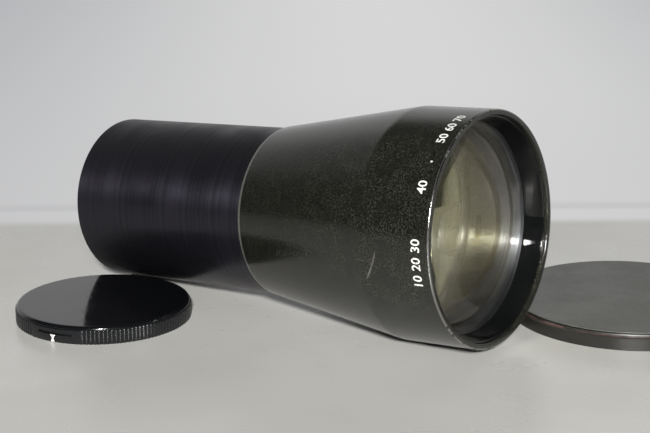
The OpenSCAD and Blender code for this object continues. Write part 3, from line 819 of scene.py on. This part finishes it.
def housing_profile():
    """Collar, cone, front cylinder, rim and the stepped bores for the glass."""
    sizes = bpy.context.scene.lens_sizes
    front_r = RIM["dims"]["r_mm"] * MM
    joint = SEAT["dims"]["length_mm"] * MM + sizes.seat_chamfer
    kink = station_of(RIM) - RIM["dims"]["length_mm"] / 2 * MM
    rim = Reach("front_housing").front
    collar_r = SEAT["dims"]["r_mm"] * MM + sizes.collar_step
    baffle, first, second, cell = (
        Reach(n) for n in ("light_baffle", "front_element", "second_element", "negative_cell")
    )
    collar_bore_r = baffle.outer + sizes.clearance
    rim_bore_r = front_r - sizes.rim_wall
    bore_end = Reach("front_retaining_ring").back - sizes.ring_lip_t
    first_r = first.outer + sizes.glass_clearance
    second_r = second.outer + sizes.glass_clearance
    cell_r = cell.outer + sizes.clearance
    shoulder_r = cell_r - sizes.shoulder_w - sizes.clearance
    flange_r = collar_bore_r - sizes.flange_w
    flange_front = baffle.front + sizes.shoulder_t
    shoulder_back = cell.back - sizes.shoulder_t

    def cone_bore(station):
        share = (station - joint) / (kink - joint)
        return collar_r + (front_r - collar_r) * share - sizes.housing_wall

    return [
        (collar_bore_r, joint), (collar_r - sizes.collar_chamfer, joint),
        (collar_r, joint + sizes.collar_chamfer), (front_r, kink, sizes.kink_soft),
        (front_r, rim, sizes.rim_round), (rim_bore_r, rim, sizes.rim_inner_round),
        (rim_bore_r, bore_end), (first_r, bore_end), (first_r, first.back),
        (second_r, first.back), (second_r, second.back), (cell_r, second.back),
        (cell_r, cell.back), (shoulder_r, cell.back), (shoulder_r, shoulder_back),
        (cone_bore(shoulder_back), shoulder_back), (cone_bore(flange_front), flange_front),
        (flange_r, flange_front), (flange_r, baffle.front),
        (collar_bore_r, baffle.front),
    ]


def ring_profile():
    """The front retaining ring, with its conical inner wall."""
    sizes = bpy.context.scene.lens_sizes
    ring = Reach("front_retaining_ring")
    return [
        (ring.inner, ring.back), (ring.outer, ring.back), (ring.outer, ring.front),
        (ring.outer - sizes.ring_face, ring.front), (ring.inner, ring.back + sizes.ring_lip_t),
    ]


def glass_profiles():
    """Profile and CAD node of each element, from the axis round the edge and back to the axis."""
    radii = bpy.context.scene.lens_glass

    def hollow(node, front_radius, rear_radius, land):
        glass = Reach(node)
        back_edge = glass.outer - land
        rear = surface(rear_radius, glass.back + sag(rear_radius, back_edge), back_edge)
        front = surface(front_radius, glass.front, glass.outer)
        return rear + [(glass.outer, glass.back)] + front[::-1]

    def convex(node, front_radius, rear_radius):
        glass = Reach(node)
        rear = surface(-rear_radius, glass.back, glass.outer)
        front = surface(front_radius, glass.front, glass.outer)
        return rear + front[::-1]

    return {
        "front_element": hollow("front_element", radii.first_front, radii.first_rear, radii.land),
        "second_element": hollow("second_element", radii.second_front, radii.second_rear, radii.land),
        "third_element": hollow("third_element", radii.third_front, radii.third_rear, radii.third_land),
        "doublet_flint_element": hollow("doublet_flint_element", radii.flint_front, radii.cement, 0.0),
        "doublet_crown_element": convex("doublet_crown_element", radii.cement, radii.crown_rear),
        "rear_element": convex("rear_element", radii.last_front, radii.last_rear),
    }


def dressed_copy(node, finish, bevel=0.12 * MM):
    """A copy of a CAD node, merged, with broken edges and a finish, that stands for the node."""
    mesh = frame["nodes"][node].data.copy()
    work = bmesh.new()
    work.from_mesh(mesh)
    bmesh.ops.remove_doubles(work, verts=work.verts, dist=0.001 * MM)
    bmesh.ops.dissolve_limit(
        work, angle_limit=math.radians(0.5), verts=work.verts, edges=work.edges,
    )
    sharp = [e for e in work.edges if len(e.link_faces) == 2 and e.calc_face_angle() > math.radians(35)]
    bmesh.ops.bevel(
        work, geom=sharp, offset=bevel, segments=1, affect="EDGES", clamp_overlap=True, profile=0.5,
    )
    bmesh.ops.triangulate(work, faces=[f for f in work.faces if len(f.verts) > 4])
    work.to_mesh(mesh)
    work.free()
    mesh.materials.clear()
    mesh.materials.append(finish)
    smooth_mesh(mesh, 50)
    return as_piece(node + "_dressed", mesh, "lens", [node])


def on_lens(radius, turn, station):
    """A point at a radius, a turn from the top towards the camera's side, and a station."""
    return LENS_PLACE @ Vector((-radius * math.cos(turn), -radius * math.sin(turn), station))


# Height of a figure as a share of its font's size
FIGURE_SHARE = 0.7


def wrapped_text(body, height, place):
    """Raised figures as a mesh, each point put in place by the function given."""
    size = height / FIGURE_SHARE
    curve = bpy.data.curves.new("figures", "FONT")
    curve.body = body
    curve.align_x, curve.align_y = "CENTER", "CENTER"
    curve.size = size
    curve.offset = size * 0.012
    # Only the sign of z counts: it tells the top of a figure from its bottom
    curve.extrude = 0.5
    curve.resolution_u = 4
    holder = bpy.data.objects.new("figures", curve)
    bpy.context.scene.collection.objects.link(holder)
    graph = bpy.context.evaluated_depsgraph_get()
    mesh = bpy.data.meshes.new_from_object(holder.evaluated_get(graph))
    bpy.data.objects.remove(holder)
    for vertex in mesh.vertices:
        vertex.co = place(*vertex.co)
    return mesh


def merged(meshes, name):
    """Several meshes as one."""
    work = bmesh.new()
    for mesh in meshes:
        work.from_mesh(mesh)
        bpy.data.meshes.remove(mesh)
    result = bpy.data.meshes.new(name)
    work.to_mesh(result)
    work.free()
    return result


class LENS_OT_stage(bpy.types.Operator):
    """Sets the camera at the photographer's place, the table and the light"""

    bl_idname = "projection_lens.stage"
    bl_label = "Stage"

    def execute(self, context):
        stage = context.scene.lens_stage
        self.camera(context, stage)
        self.table(context, stage)
        self.light(context, stage)
        settings = context.scene.view_settings
        settings.view_transform = "Standard"
        return {"FINISHED"}

    @staticmethod
    def looking(stage):
        """Where the camera stands, and the plan direction in which it looks."""
        at = Vector((REAR_END.x + stage.camera_along, REAR_END.y + stage.camera_aside, stage.camera_height))
        return at, Vector((-math.sin(stage.heading), math.cos(stage.heading), 0.0))

    def camera(self, context, stage):
        at, plan = self.looking(stage)
        forward = plan * math.cos(stage.pitch) - Vector((0, 0, math.sin(stage.pitch)))
        level = forward.cross(Vector((0, 0, 1))).normalized()
        upright = level.cross(forward)
        right = level * math.cos(stage.roll) + upright * math.sin(stage.roll)
        up = upright * math.cos(stage.roll) - level * math.sin(stage.roll)
        data = bpy.data.cameras.new("camera")
        data.lens = stage.focal
        data.sensor_width = 36.0
        data.sensor_fit = "HORIZONTAL"
        data.clip_start, data.clip_end = 0.01, 20.0
        camera = bpy.data.objects.new("camera", data)
        turn = Matrix((right, up, -forward)).transposed()
        camera.matrix_world = Matrix.Translation(at) @ turn.to_4x4()
        context.scene.collection.objects.link(camera)
        context.scene.camera = camera

    def table(self, context, stage):
        at, plan = self.looking(stage)
        half = stage.table_size / 2
        mesh = bpy.data.meshes.new("table_top")
        corners = [(-half, -half), (half, -half), (half, half), (-half, half)]
        mesh.from_pydata([(x, y, -0.1 * MM) for x, y in corners], [], [(0, 1, 2, 3)])
        mesh.materials.append(painted_table(at, plan, stage.table_depth))
        floor = bpy.data.objects.new("table_top", mesh)
        context.scene.collection.objects.link(floor)

    def light(self, context, stage):
        at, plan = self.looking(stage)
        middle = Vector((0, 0, stage.lit_height))
        # A low window far behind the camera lights the table right under the lens
        rise = stage.window_rise
        towards = Vector((0, 0, math.sin(rise))) - plan * math.cos(rise)
        window = middle + stage.window_distance * towards
        self.lamp("window", window, middle, stage.window_size, stage.window_power)
        # A small flash just above the camera makes the bands and glints
        flash = at + Vector((0, 0, stage.flash_above))
        self.lamp("flash", flash, middle, stage.flash_size, stage.flash_power)
        self.surroundings(context, plan)

    @staticmethod
    def lamp(name, place, target, size, power):
        """A round lamp at a place, turned to the target."""
        data = bpy.data.lights.new(name, "AREA")
        data.shape = "DISK"
        data.size = size
        data.energy = power
        lamp = bpy.data.objects.new(name, data)
        lamp.location = place
        lamp.rotation_euler = (target - place).to_track_quat("-Z", "Y").to_euler()
        bpy.context.scene.collection.objects.link(lamp)

    @staticmethod
    def surroundings(context, plan):
        """A dim room with one pale wall ahead of the camera, and a little even light from all round."""
        finishes = context.scene.lens_finishes
        world = bpy.data.worlds.new("room")
        context.scene.world = world
        world.use_nodes = True
        tree = world.node_tree
        tree.nodes.clear()

        def calc(operation, a, b=0.0):
            return add_node(tree, "ShaderNodeMath", {0: a, 1: b}, operation=operation).outputs[0]

        def rise(value, low, high):
            return add_node(
                tree, "ShaderNodeMapRange", {"Value": value, "From Min": low, "From Max": high},
                interpolation_type="SMOOTHSTEP",
            ).outputs[0]

        direction = add_node(tree, "ShaderNodeTexCoord").outputs["Generated"]
        ahead = add_node(
            tree, "ShaderNodeVectorMath", {0: direction, 1: plan}, operation="DOT_PRODUCT",
        ).outputs["Value"]
        height = add_node(tree, "ShaderNodeSeparateXYZ", {0: direction}).outputs[2]
        rays = add_node(tree, "ShaderNodeLightPath").outputs
        wall = calc("MULTIPLY", rise(ahead, 0.15, 0.7), calc("SUBTRACT", 1.0, rise(height, 0.47, 0.7)))
        wall = calc("MAXIMUM", wall, rays["Is Camera Ray"])
        mirrored = add_node(tree, "ShaderNodeMix", {0: wall}, data_type="RGBA")
        mirrored.inputs[6].default_value = four(finishes.room)
        mirrored.inputs[7].default_value = four(finishes.backdrop)
        seen = calc("MAXIMUM", rays["Is Camera Ray"],
                    calc("MAXIMUM", rays["Is Glossy Ray"], rays["Is Transmission Ray"]))
        fill = add_node(tree, "ShaderNodeBackground", {"Color": mirrored.outputs[2], "Strength": 0.4})
        room = add_node(tree, "ShaderNodeBackground", {"Color": mirrored.outputs[2], "Strength": 1.0})
        mix = add_node(tree, "ShaderNodeMixShader", {0: seen, 1: fill.outputs[0], 2: room.outputs[0]})
        add_node(tree, "ShaderNodeOutputWorld", {0: mix.outputs[0]})


def painted_table(at, plan, depth):
    """Satin painted board: pale warm grey with a soft gleam, and the pale wall behind its edge."""
    finishes = bpy.context.scene.lens_finishes
    made = Finish("painted_table", IOR=1.5)
    ahead = made.add(
        "ShaderNodeVectorMath", {0: made.space, 1: plan}, operation="DOT_PRODUCT",
    ).outputs["Value"]
    across = made.add(
        "ShaderNodeVectorMath", {0: made.space, 1: plan.cross(Vector((0, 0, 1)))},
        operation="DOT_PRODUCT",
    ).outputs["Value"]
    beyond = made.math("SUBTRACT", ahead, at.dot(plan) + depth)
    wall = made.ramp(beyond, -7 * MM, 7 * MM)
    shade = made.noise(120 * MM, detail=2.0)
    board = made.blend(made.ramp(shade, 0.3, 0.7), four(finishes.table_dark), four(finishes.table))
    made.feed(Base_Color=board, Roughness=made.varied(20 * MM, 0.26, 0.36))
    # Painted light: the glowing wall is painted lightest a little to the right of the middle as a pool of
    # light, with painted shade towards its sides, and darker at its foot
    lightest = made.middle(at, plan) + 50 * MM
    offside = made.math("ABSOLUTE", made.math("SUBTRACT", across, lightest))
    side = made.ramp(offside, 0.0, 400 * MM)
    foot = made.ramp(beyond, 30 * MM, 350 * MM, 1.0, 0.0)
    tone = made.blend(side, four(finishes.backdrop), four(finishes.wall_side_painted_shade))
    tone = made.blend(made.math("MULTIPLY", foot, 0.35), tone, four(finishes.wall_foot))
    # A soft darker line runs above the pale foot of the wall
    near, far = made.ramp(beyond, 18 * MM, 24 * MM), made.ramp(beyond, 26 * MM, 38 * MM, 1.0, 0.0)
    line = made.math("MULTIPLY", made.math("MULTIPLY", near, far), 0.35)
    tone = made.blend(line, tone, four(finishes.wall_line))
    glow = made.add("ShaderNodeEmission", {"Color": tone, "Strength": 1.0})
    rays = made.add("ShaderNodeLightPath").outputs
    seen = made.math("MAXIMUM", rays["Is Camera Ray"], rays["Is Glossy Ray"])
    seen = made.math("MAXIMUM", seen, rays["Is Transmission Ray"])
    mix = made.add("ShaderNodeMixShader", {
        0: made.math("MULTIPLY", wall, seen), 1: made.shader.outputs[0], 2: glow.outputs[0],
    })
    made.tree.links.new(mix.outputs[0], made.tree.nodes["Material Output"].inputs[0])
    return made.material


class LENS_OT_barrel(bpy.types.Operator):
    """Turns the anodised mounting barrel"""

    bl_idname = "projection_lens.barrel"
    bl_label = "Mounting barrel"

    def execute(self, context):
        cut = context.scene.lens_sizes.edge_break
        finish = material_named("black_anodised_aluminium", black_anodised_aluminium)
        turned_piece(
            "barrel_tube", softened(barrel_profile(), cut), finish, "mounting_barrel",
        )
        return {"FINISHED"}


class LENS_OT_housing(bpy.types.Operator):
    """Turns the painted housing with its cone and rim"""

    bl_idname = "projection_lens.housing"
    bl_label = "Front housing"

    def execute(self, context):
        cut = context.scene.lens_sizes.edge_break
        finish = material_named("black_hammered_paint", black_hammered_paint)
        piece = turned_piece(
            "housing_shell", softened(housing_profile(), cut, 6), finish,
            "front_housing",
        )
        self.line_inside(piece.data, context.scene.lens_sizes)
        return {"FINISHED"}

    @staticmethod
    def line_inside(mesh, sizes):
        """Lacquers the faces that look towards the axis, behind the front ring."""
        mesh.materials.append(material_named("satin_black_anodising", satin_black_anodising))
        ring_back = Reach("front_retaining_ring").back
        for face in mesh.polygons:
            out = face.center - REAR_END
            station = out.dot(AXIS)
            outward = (out - AXIS * station).normalized()
            inner = face.normal.dot(outward) < 0.5 and station < ring_back
            face.material_index = int(inner)


class LENS_OT_front_ring(bpy.types.Operator):
    """Turns the ring that holds the front glass"""

    bl_idname = "projection_lens.front_ring"
    bl_label = "Front retaining ring"

    def execute(self, context):
        cut = context.scene.lens_sizes.edge_break
        finish = material_named("gloss_black_enamel", gloss_black_enamel)
        turned_piece(
            "front_ring", softened(ring_profile(), cut), finish,
            "front_retaining_ring",
        )
        return {"FINISHED"}


class LENS_OT_glass(bpy.types.Operator):
    """Polishes the six elements"""

    bl_idname = "projection_lens.glass"
    bl_label = "Glass"

    def execute(self, context):
        finish = material_named("coated_glass", coated_glass)
        edge = material_named("blackened_glass_edge", blackened_glass_edge)
        for node, points in glass_profiles().items():
            piece = turned_piece(
                node.replace("element", "glass"), points, finish, node, closed=False,
            )
            piece.data.materials.append(edge)
            for face in piece.data.polygons:
                face.material_index = int(abs(face.normal.dot(AXIS)) < 0.3)
        return {"FINISHED"}


class LENS_OT_fittings(bpy.types.Operator):
    """Dresses the cells, rings, stop and baffle inside, and the grub screw"""

    bl_idname = "projection_lens.fittings"
    bl_label = "Inner fittings"

    inner = (
        "front_spacer", "negative_cell", "negative_retaining_ring", "light_baffle", "aperture_stop",
        "rear_cell", "doublet_spacer", "rear_retaining_ring", "cell_clamp_ring",
    )

    def execute(self, context):
        lacquer = material_named("satin_black_anodising", satin_black_anodising)
        for node in self.inner:
            dressed_copy(node, lacquer)
        steel = material_named("turned_steel", turned_steel)
        dressed_copy("barrel_lock_screw", steel, 0.05 * MM)
        return {"FINISHED"}


class LENS_OT_numbers(bpy.types.Operator):
    """Fills plain numbers round the front cylinder with white"""

    bl_idname = "projection_lens.numbers"
    bl_label = "Rim numbers"

    # Numbers and their turns in degrees from the top towards the camera
    groups = {"10": 102, "20": 93.5, "30": 85, "40": 58, "50": 31, "60": 22.5, "70": 14}

    def execute(self, context):
        sizes = context.scene.lens_sizes
        radius = RIM["dims"]["r_mm"] * MM
        station = Reach("front_housing").front - sizes.number_station

        def place(turn):
            def put(x, y, z):
                height = radius + (sizes.number_proud if z > 0 else -sizes.number_deep)
                return on_lens(height, turn - x / radius, station - y)
            return put

        meshes = [
            wrapped_text(text, sizes.number_height, place(math.radians(turn)))
            for text, turn in self.groups.items()
        ]
        mesh = merged(meshes, "rim_numbers")
        mesh.materials.append(material_named("white_filling", white_filling))
        smooth_mesh(mesh)
        as_piece("rim_numbers", mesh, "lens")
        return {"FINISHED"}


class LENS_OT_rear_cap(bpy.types.Operator):
    """Moulds the ribbed rear cap with its slot and its index mark"""

    bl_idname = "projection_lens.rear_cap"
    bl_label = "Rear cap"

    def execute(self, context):
        sizes = context.scene.lens_caps
        low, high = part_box("rear_cap")
        bore = mount("rear_cap_bore")
        height = high.z - low.z
        # The ribs and the panel make the box uneven, so the bore gives the middle
        centre = Vector((*bore["pos_m"][:2], low.z))
        radius = (high.y - low.y) / 2
        top_r = radius - sizes.rib_depth - sizes.rib_ledge
        skirt = height - sizes.rear_round
        bore_r, depth = bore["dims"]["r_mm"] * MM, bore["dims"]["length_mm"] * MM
        slot_top = sizes.slot_z + sizes.slot_h
        lip, crest = 0.06 * MM, 0.35 * MM
        fillet, mouth, foot = 0.3 * MM, 0.15 * MM, 0.25 * MM
        points = [
            (0, depth), (bore_r - fillet, depth), (bore_r, depth - fillet), (bore_r, mouth),
            (bore_r + mouth, 0), (radius - foot, 0), (radius - 0.32 * foot, 0.32 * foot), (radius, foot),
            (radius, sizes.slot_z - lip), (radius, sizes.slot_z), (radius, slot_top),
            (radius, slot_top + lip), (radius, skirt - crest),
        ]
        # The crests round off towards the top
        points += [
            (radius - sizes.rib_depth * (1 - math.cos(t)), skirt - crest * (1 - math.sin(t)))
            for t in (math.radians(a) for a in range(15, 91, 15))
        ]
        points += [
            (top_r - sizes.rear_round * (1 - math.cos(t)), skirt + sizes.rear_round * math.sin(t))
            for t in (math.radians(a) for a in range(0, 91, 9))
        ]
        points += [(top_r * 0.93, height), (0, height)]
        finish = black_moulded_plastic(centre)
        values = {
            "Segments": sizes.ribs * 8, "Place": centre, "Turn": (0.0, 0.0, sizes.slot_turn),
            "Finish": finish, "Ribs": float(sizes.ribs), "Rib depth": sizes.rib_depth,
            "Skirt radius": top_r + 0.02 * MM, "Skirt height": skirt - 0.01 * MM,
            "Panel angle": math.asin(sizes.panel / 2 / radius),
            "Slot angle": math.asin(sizes.slot / 2 / radius),
            "Slot low": sizes.slot_z - lip / 2, "Slot high": slot_top + lip / 2,
            "Slot depth": sizes.slot_depth,
        }
        mesh = turned_mesh(
            "rear_cap_shell", points, tree_named("ribbed_cap", ribbed_cap_tree), values, closed=False,
        )
        as_piece("rear_cap_shell", mesh, "rear_cap", ["rear_cap"])
        self.index_mark(sizes, centre, radius)
        return {"FINISHED"}

    @staticmethod
    def index_mark(sizes, centre, radius):
        """A white hourglass mark under the slot, let into the skirt."""
        top = sizes.slot_z - 0.1 * MM
        # Half widths up the mark, in millimetres, at even steps from the foot to the slot
        halves = [0.8, 0.6, 0.45, 0.45, 0.75, 1.2]
        turn = sizes.slot_turn - math.radians(1)
        work = bmesh.new()
        rows = []
        for i, half in enumerate(halves):
            height = 0.15 * MM + (top - 0.15 * MM) * i / (len(halves) - 1)
            row = []
            for side in (-1, 1):
                for r in (radius + 0.03 * MM, radius - 0.3 * MM):
                    angle = turn + side * half * MM / radius
                    row.append(work.verts.new(
                        centre + Vector((r * math.cos(angle), r * math.sin(angle), height))
                    ))
            rows.append([row[0], row[1], row[3], row[2]])
        for low, high in zip(rows, rows[1:]):
            for k in range(4):
                work.faces.new((low[k], low[(k + 1) % 4], high[(k + 1) % 4], high[k]))
        work.faces.new(rows[0])
        work.faces.new(rows[-1])
        mesh = bpy.data.meshes.new("rear_cap_mark")
        work.to_mesh(mesh)
        work.free()
        mesh.materials.append(material_named("white_filling", white_filling))
        smooth_mesh(mesh)
        as_piece("rear_cap_mark", mesh, "rear_cap")


class LENS_OT_front_cap(bpy.types.Operator):
    """Spins the lacquered front cap with its groove and bead"""

    bl_idname = "projection_lens.front_cap"
    bl_label = "Front cap"

    def execute(self, context):
        sizes = context.scene.lens_caps
        low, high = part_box("front_cap")
        centre = Vector(((low.x + high.x) / 2, (low.y + high.y) / 2, low.z))
        bore = mount("front_cap_bore")
        bore_r, depth = bore["dims"]["r_mm"] * MM, bore["dims"]["length_mm"] * MM
        height = high.z - low.z
        skirt_r = (high.x - low.x) / 2 - sizes.bead_proud
        groove_top = height - sizes.groove_edge
        groove_low = groove_top - sizes.groove_h
        edge = sizes.groove_edge / 2
        fillet, mouth, foot = 0.4 * MM, 0.15 * MM, 0.2 * MM
        points = [
            (0, depth), (bore_r - fillet, depth), (bore_r, depth - fillet), (bore_r, mouth),
            (bore_r + mouth, 0), (skirt_r - foot, 0), (skirt_r, foot),
            (skirt_r, groove_low - sizes.bead_h - 0.1 * MM),
        ]
        for i in range(13):
            t = i / 6 - 1
            points.append((
                skirt_r + sizes.bead_proud * (1 - t * t), groove_low + sizes.bead_h * (t - 1) / 2,
            ))
        points += [(skirt_r - sizes.groove_depth, groove_low), (skirt_r - sizes.groove_depth, groove_top)]
        points += [
            (skirt_r - edge * (1 - math.cos(t)), height - edge + edge * math.sin(t))
            for t in (math.radians(a) for a in range(-90, 91, 15))
        ]
        points += [(skirt_r * 0.97, height), (0, height)]
        values = {
            "Segments": context.scene.lens_sizes.segments, "Place": centre, "Turn": (0.0, 0.0, 0.0),
            "Finish": grained_cap_lacquer(centre),
        }
        mesh = turned_mesh(
            "front_cap_shell", points, tree_named("turned_part", turned_part_tree), values, closed=False,
        )
        as_piece("front_cap_shell", mesh, "front_cap", ["front_cap"])
        return {"FINISHED"}


OPERATORS = (
    LENS_OT_stage, LENS_OT_barrel, LENS_OT_housing, LENS_OT_front_ring, LENS_OT_glass,
    LENS_OT_fittings, LENS_OT_numbers, LENS_OT_rear_cap, LENS_OT_front_cap,
)
GROUPS = {
    "lens_sizes": LensSizes, "lens_glass": GlassSizes, "lens_caps": CapSizes,
    "lens_finishes": Finishes, "lens_stage": StageSizes,
}


class LENS_PT_panel(bpy.types.Panel):
    """Lists the steps that build the lens"""

    bl_label = "Projection lens"
    bl_space_type = "VIEW_3D"
    bl_region_type = "UI"
    bl_category = "Lens"

    def draw(self, context):
        for step in OPERATORS:
            self.layout.operator(step.bl_idname)
        for group in GROUPS:
            box = self.layout.box()
            for name in GROUPS[group].__annotations__:
                box.prop(getattr(context.scene, group), name)


def register():
    for group, kind in GROUPS.items():
        bpy.utils.register_class(kind)
        setattr(bpy.types.Scene, group, PointerProperty(type=kind))
    for kind in (*OPERATORS, LENS_PT_panel):
        bpy.utils.register_class(kind)


def unregister():
    for kind in (LENS_PT_panel, *reversed(OPERATORS)):
        bpy.utils.unregister_class(kind)
    for group, kind in GROUPS.items():
        delattr(bpy.types.Scene, group)
        bpy.utils.unregister_class(kind)


def main():
    """Builds the stage and every piece."""
    register()
    for step in OPERATORS:
        family, name = step.bl_idname.split(".")
        getattr(getattr(bpy.ops, family), name)()


if __name__ == "__main__":
    main()
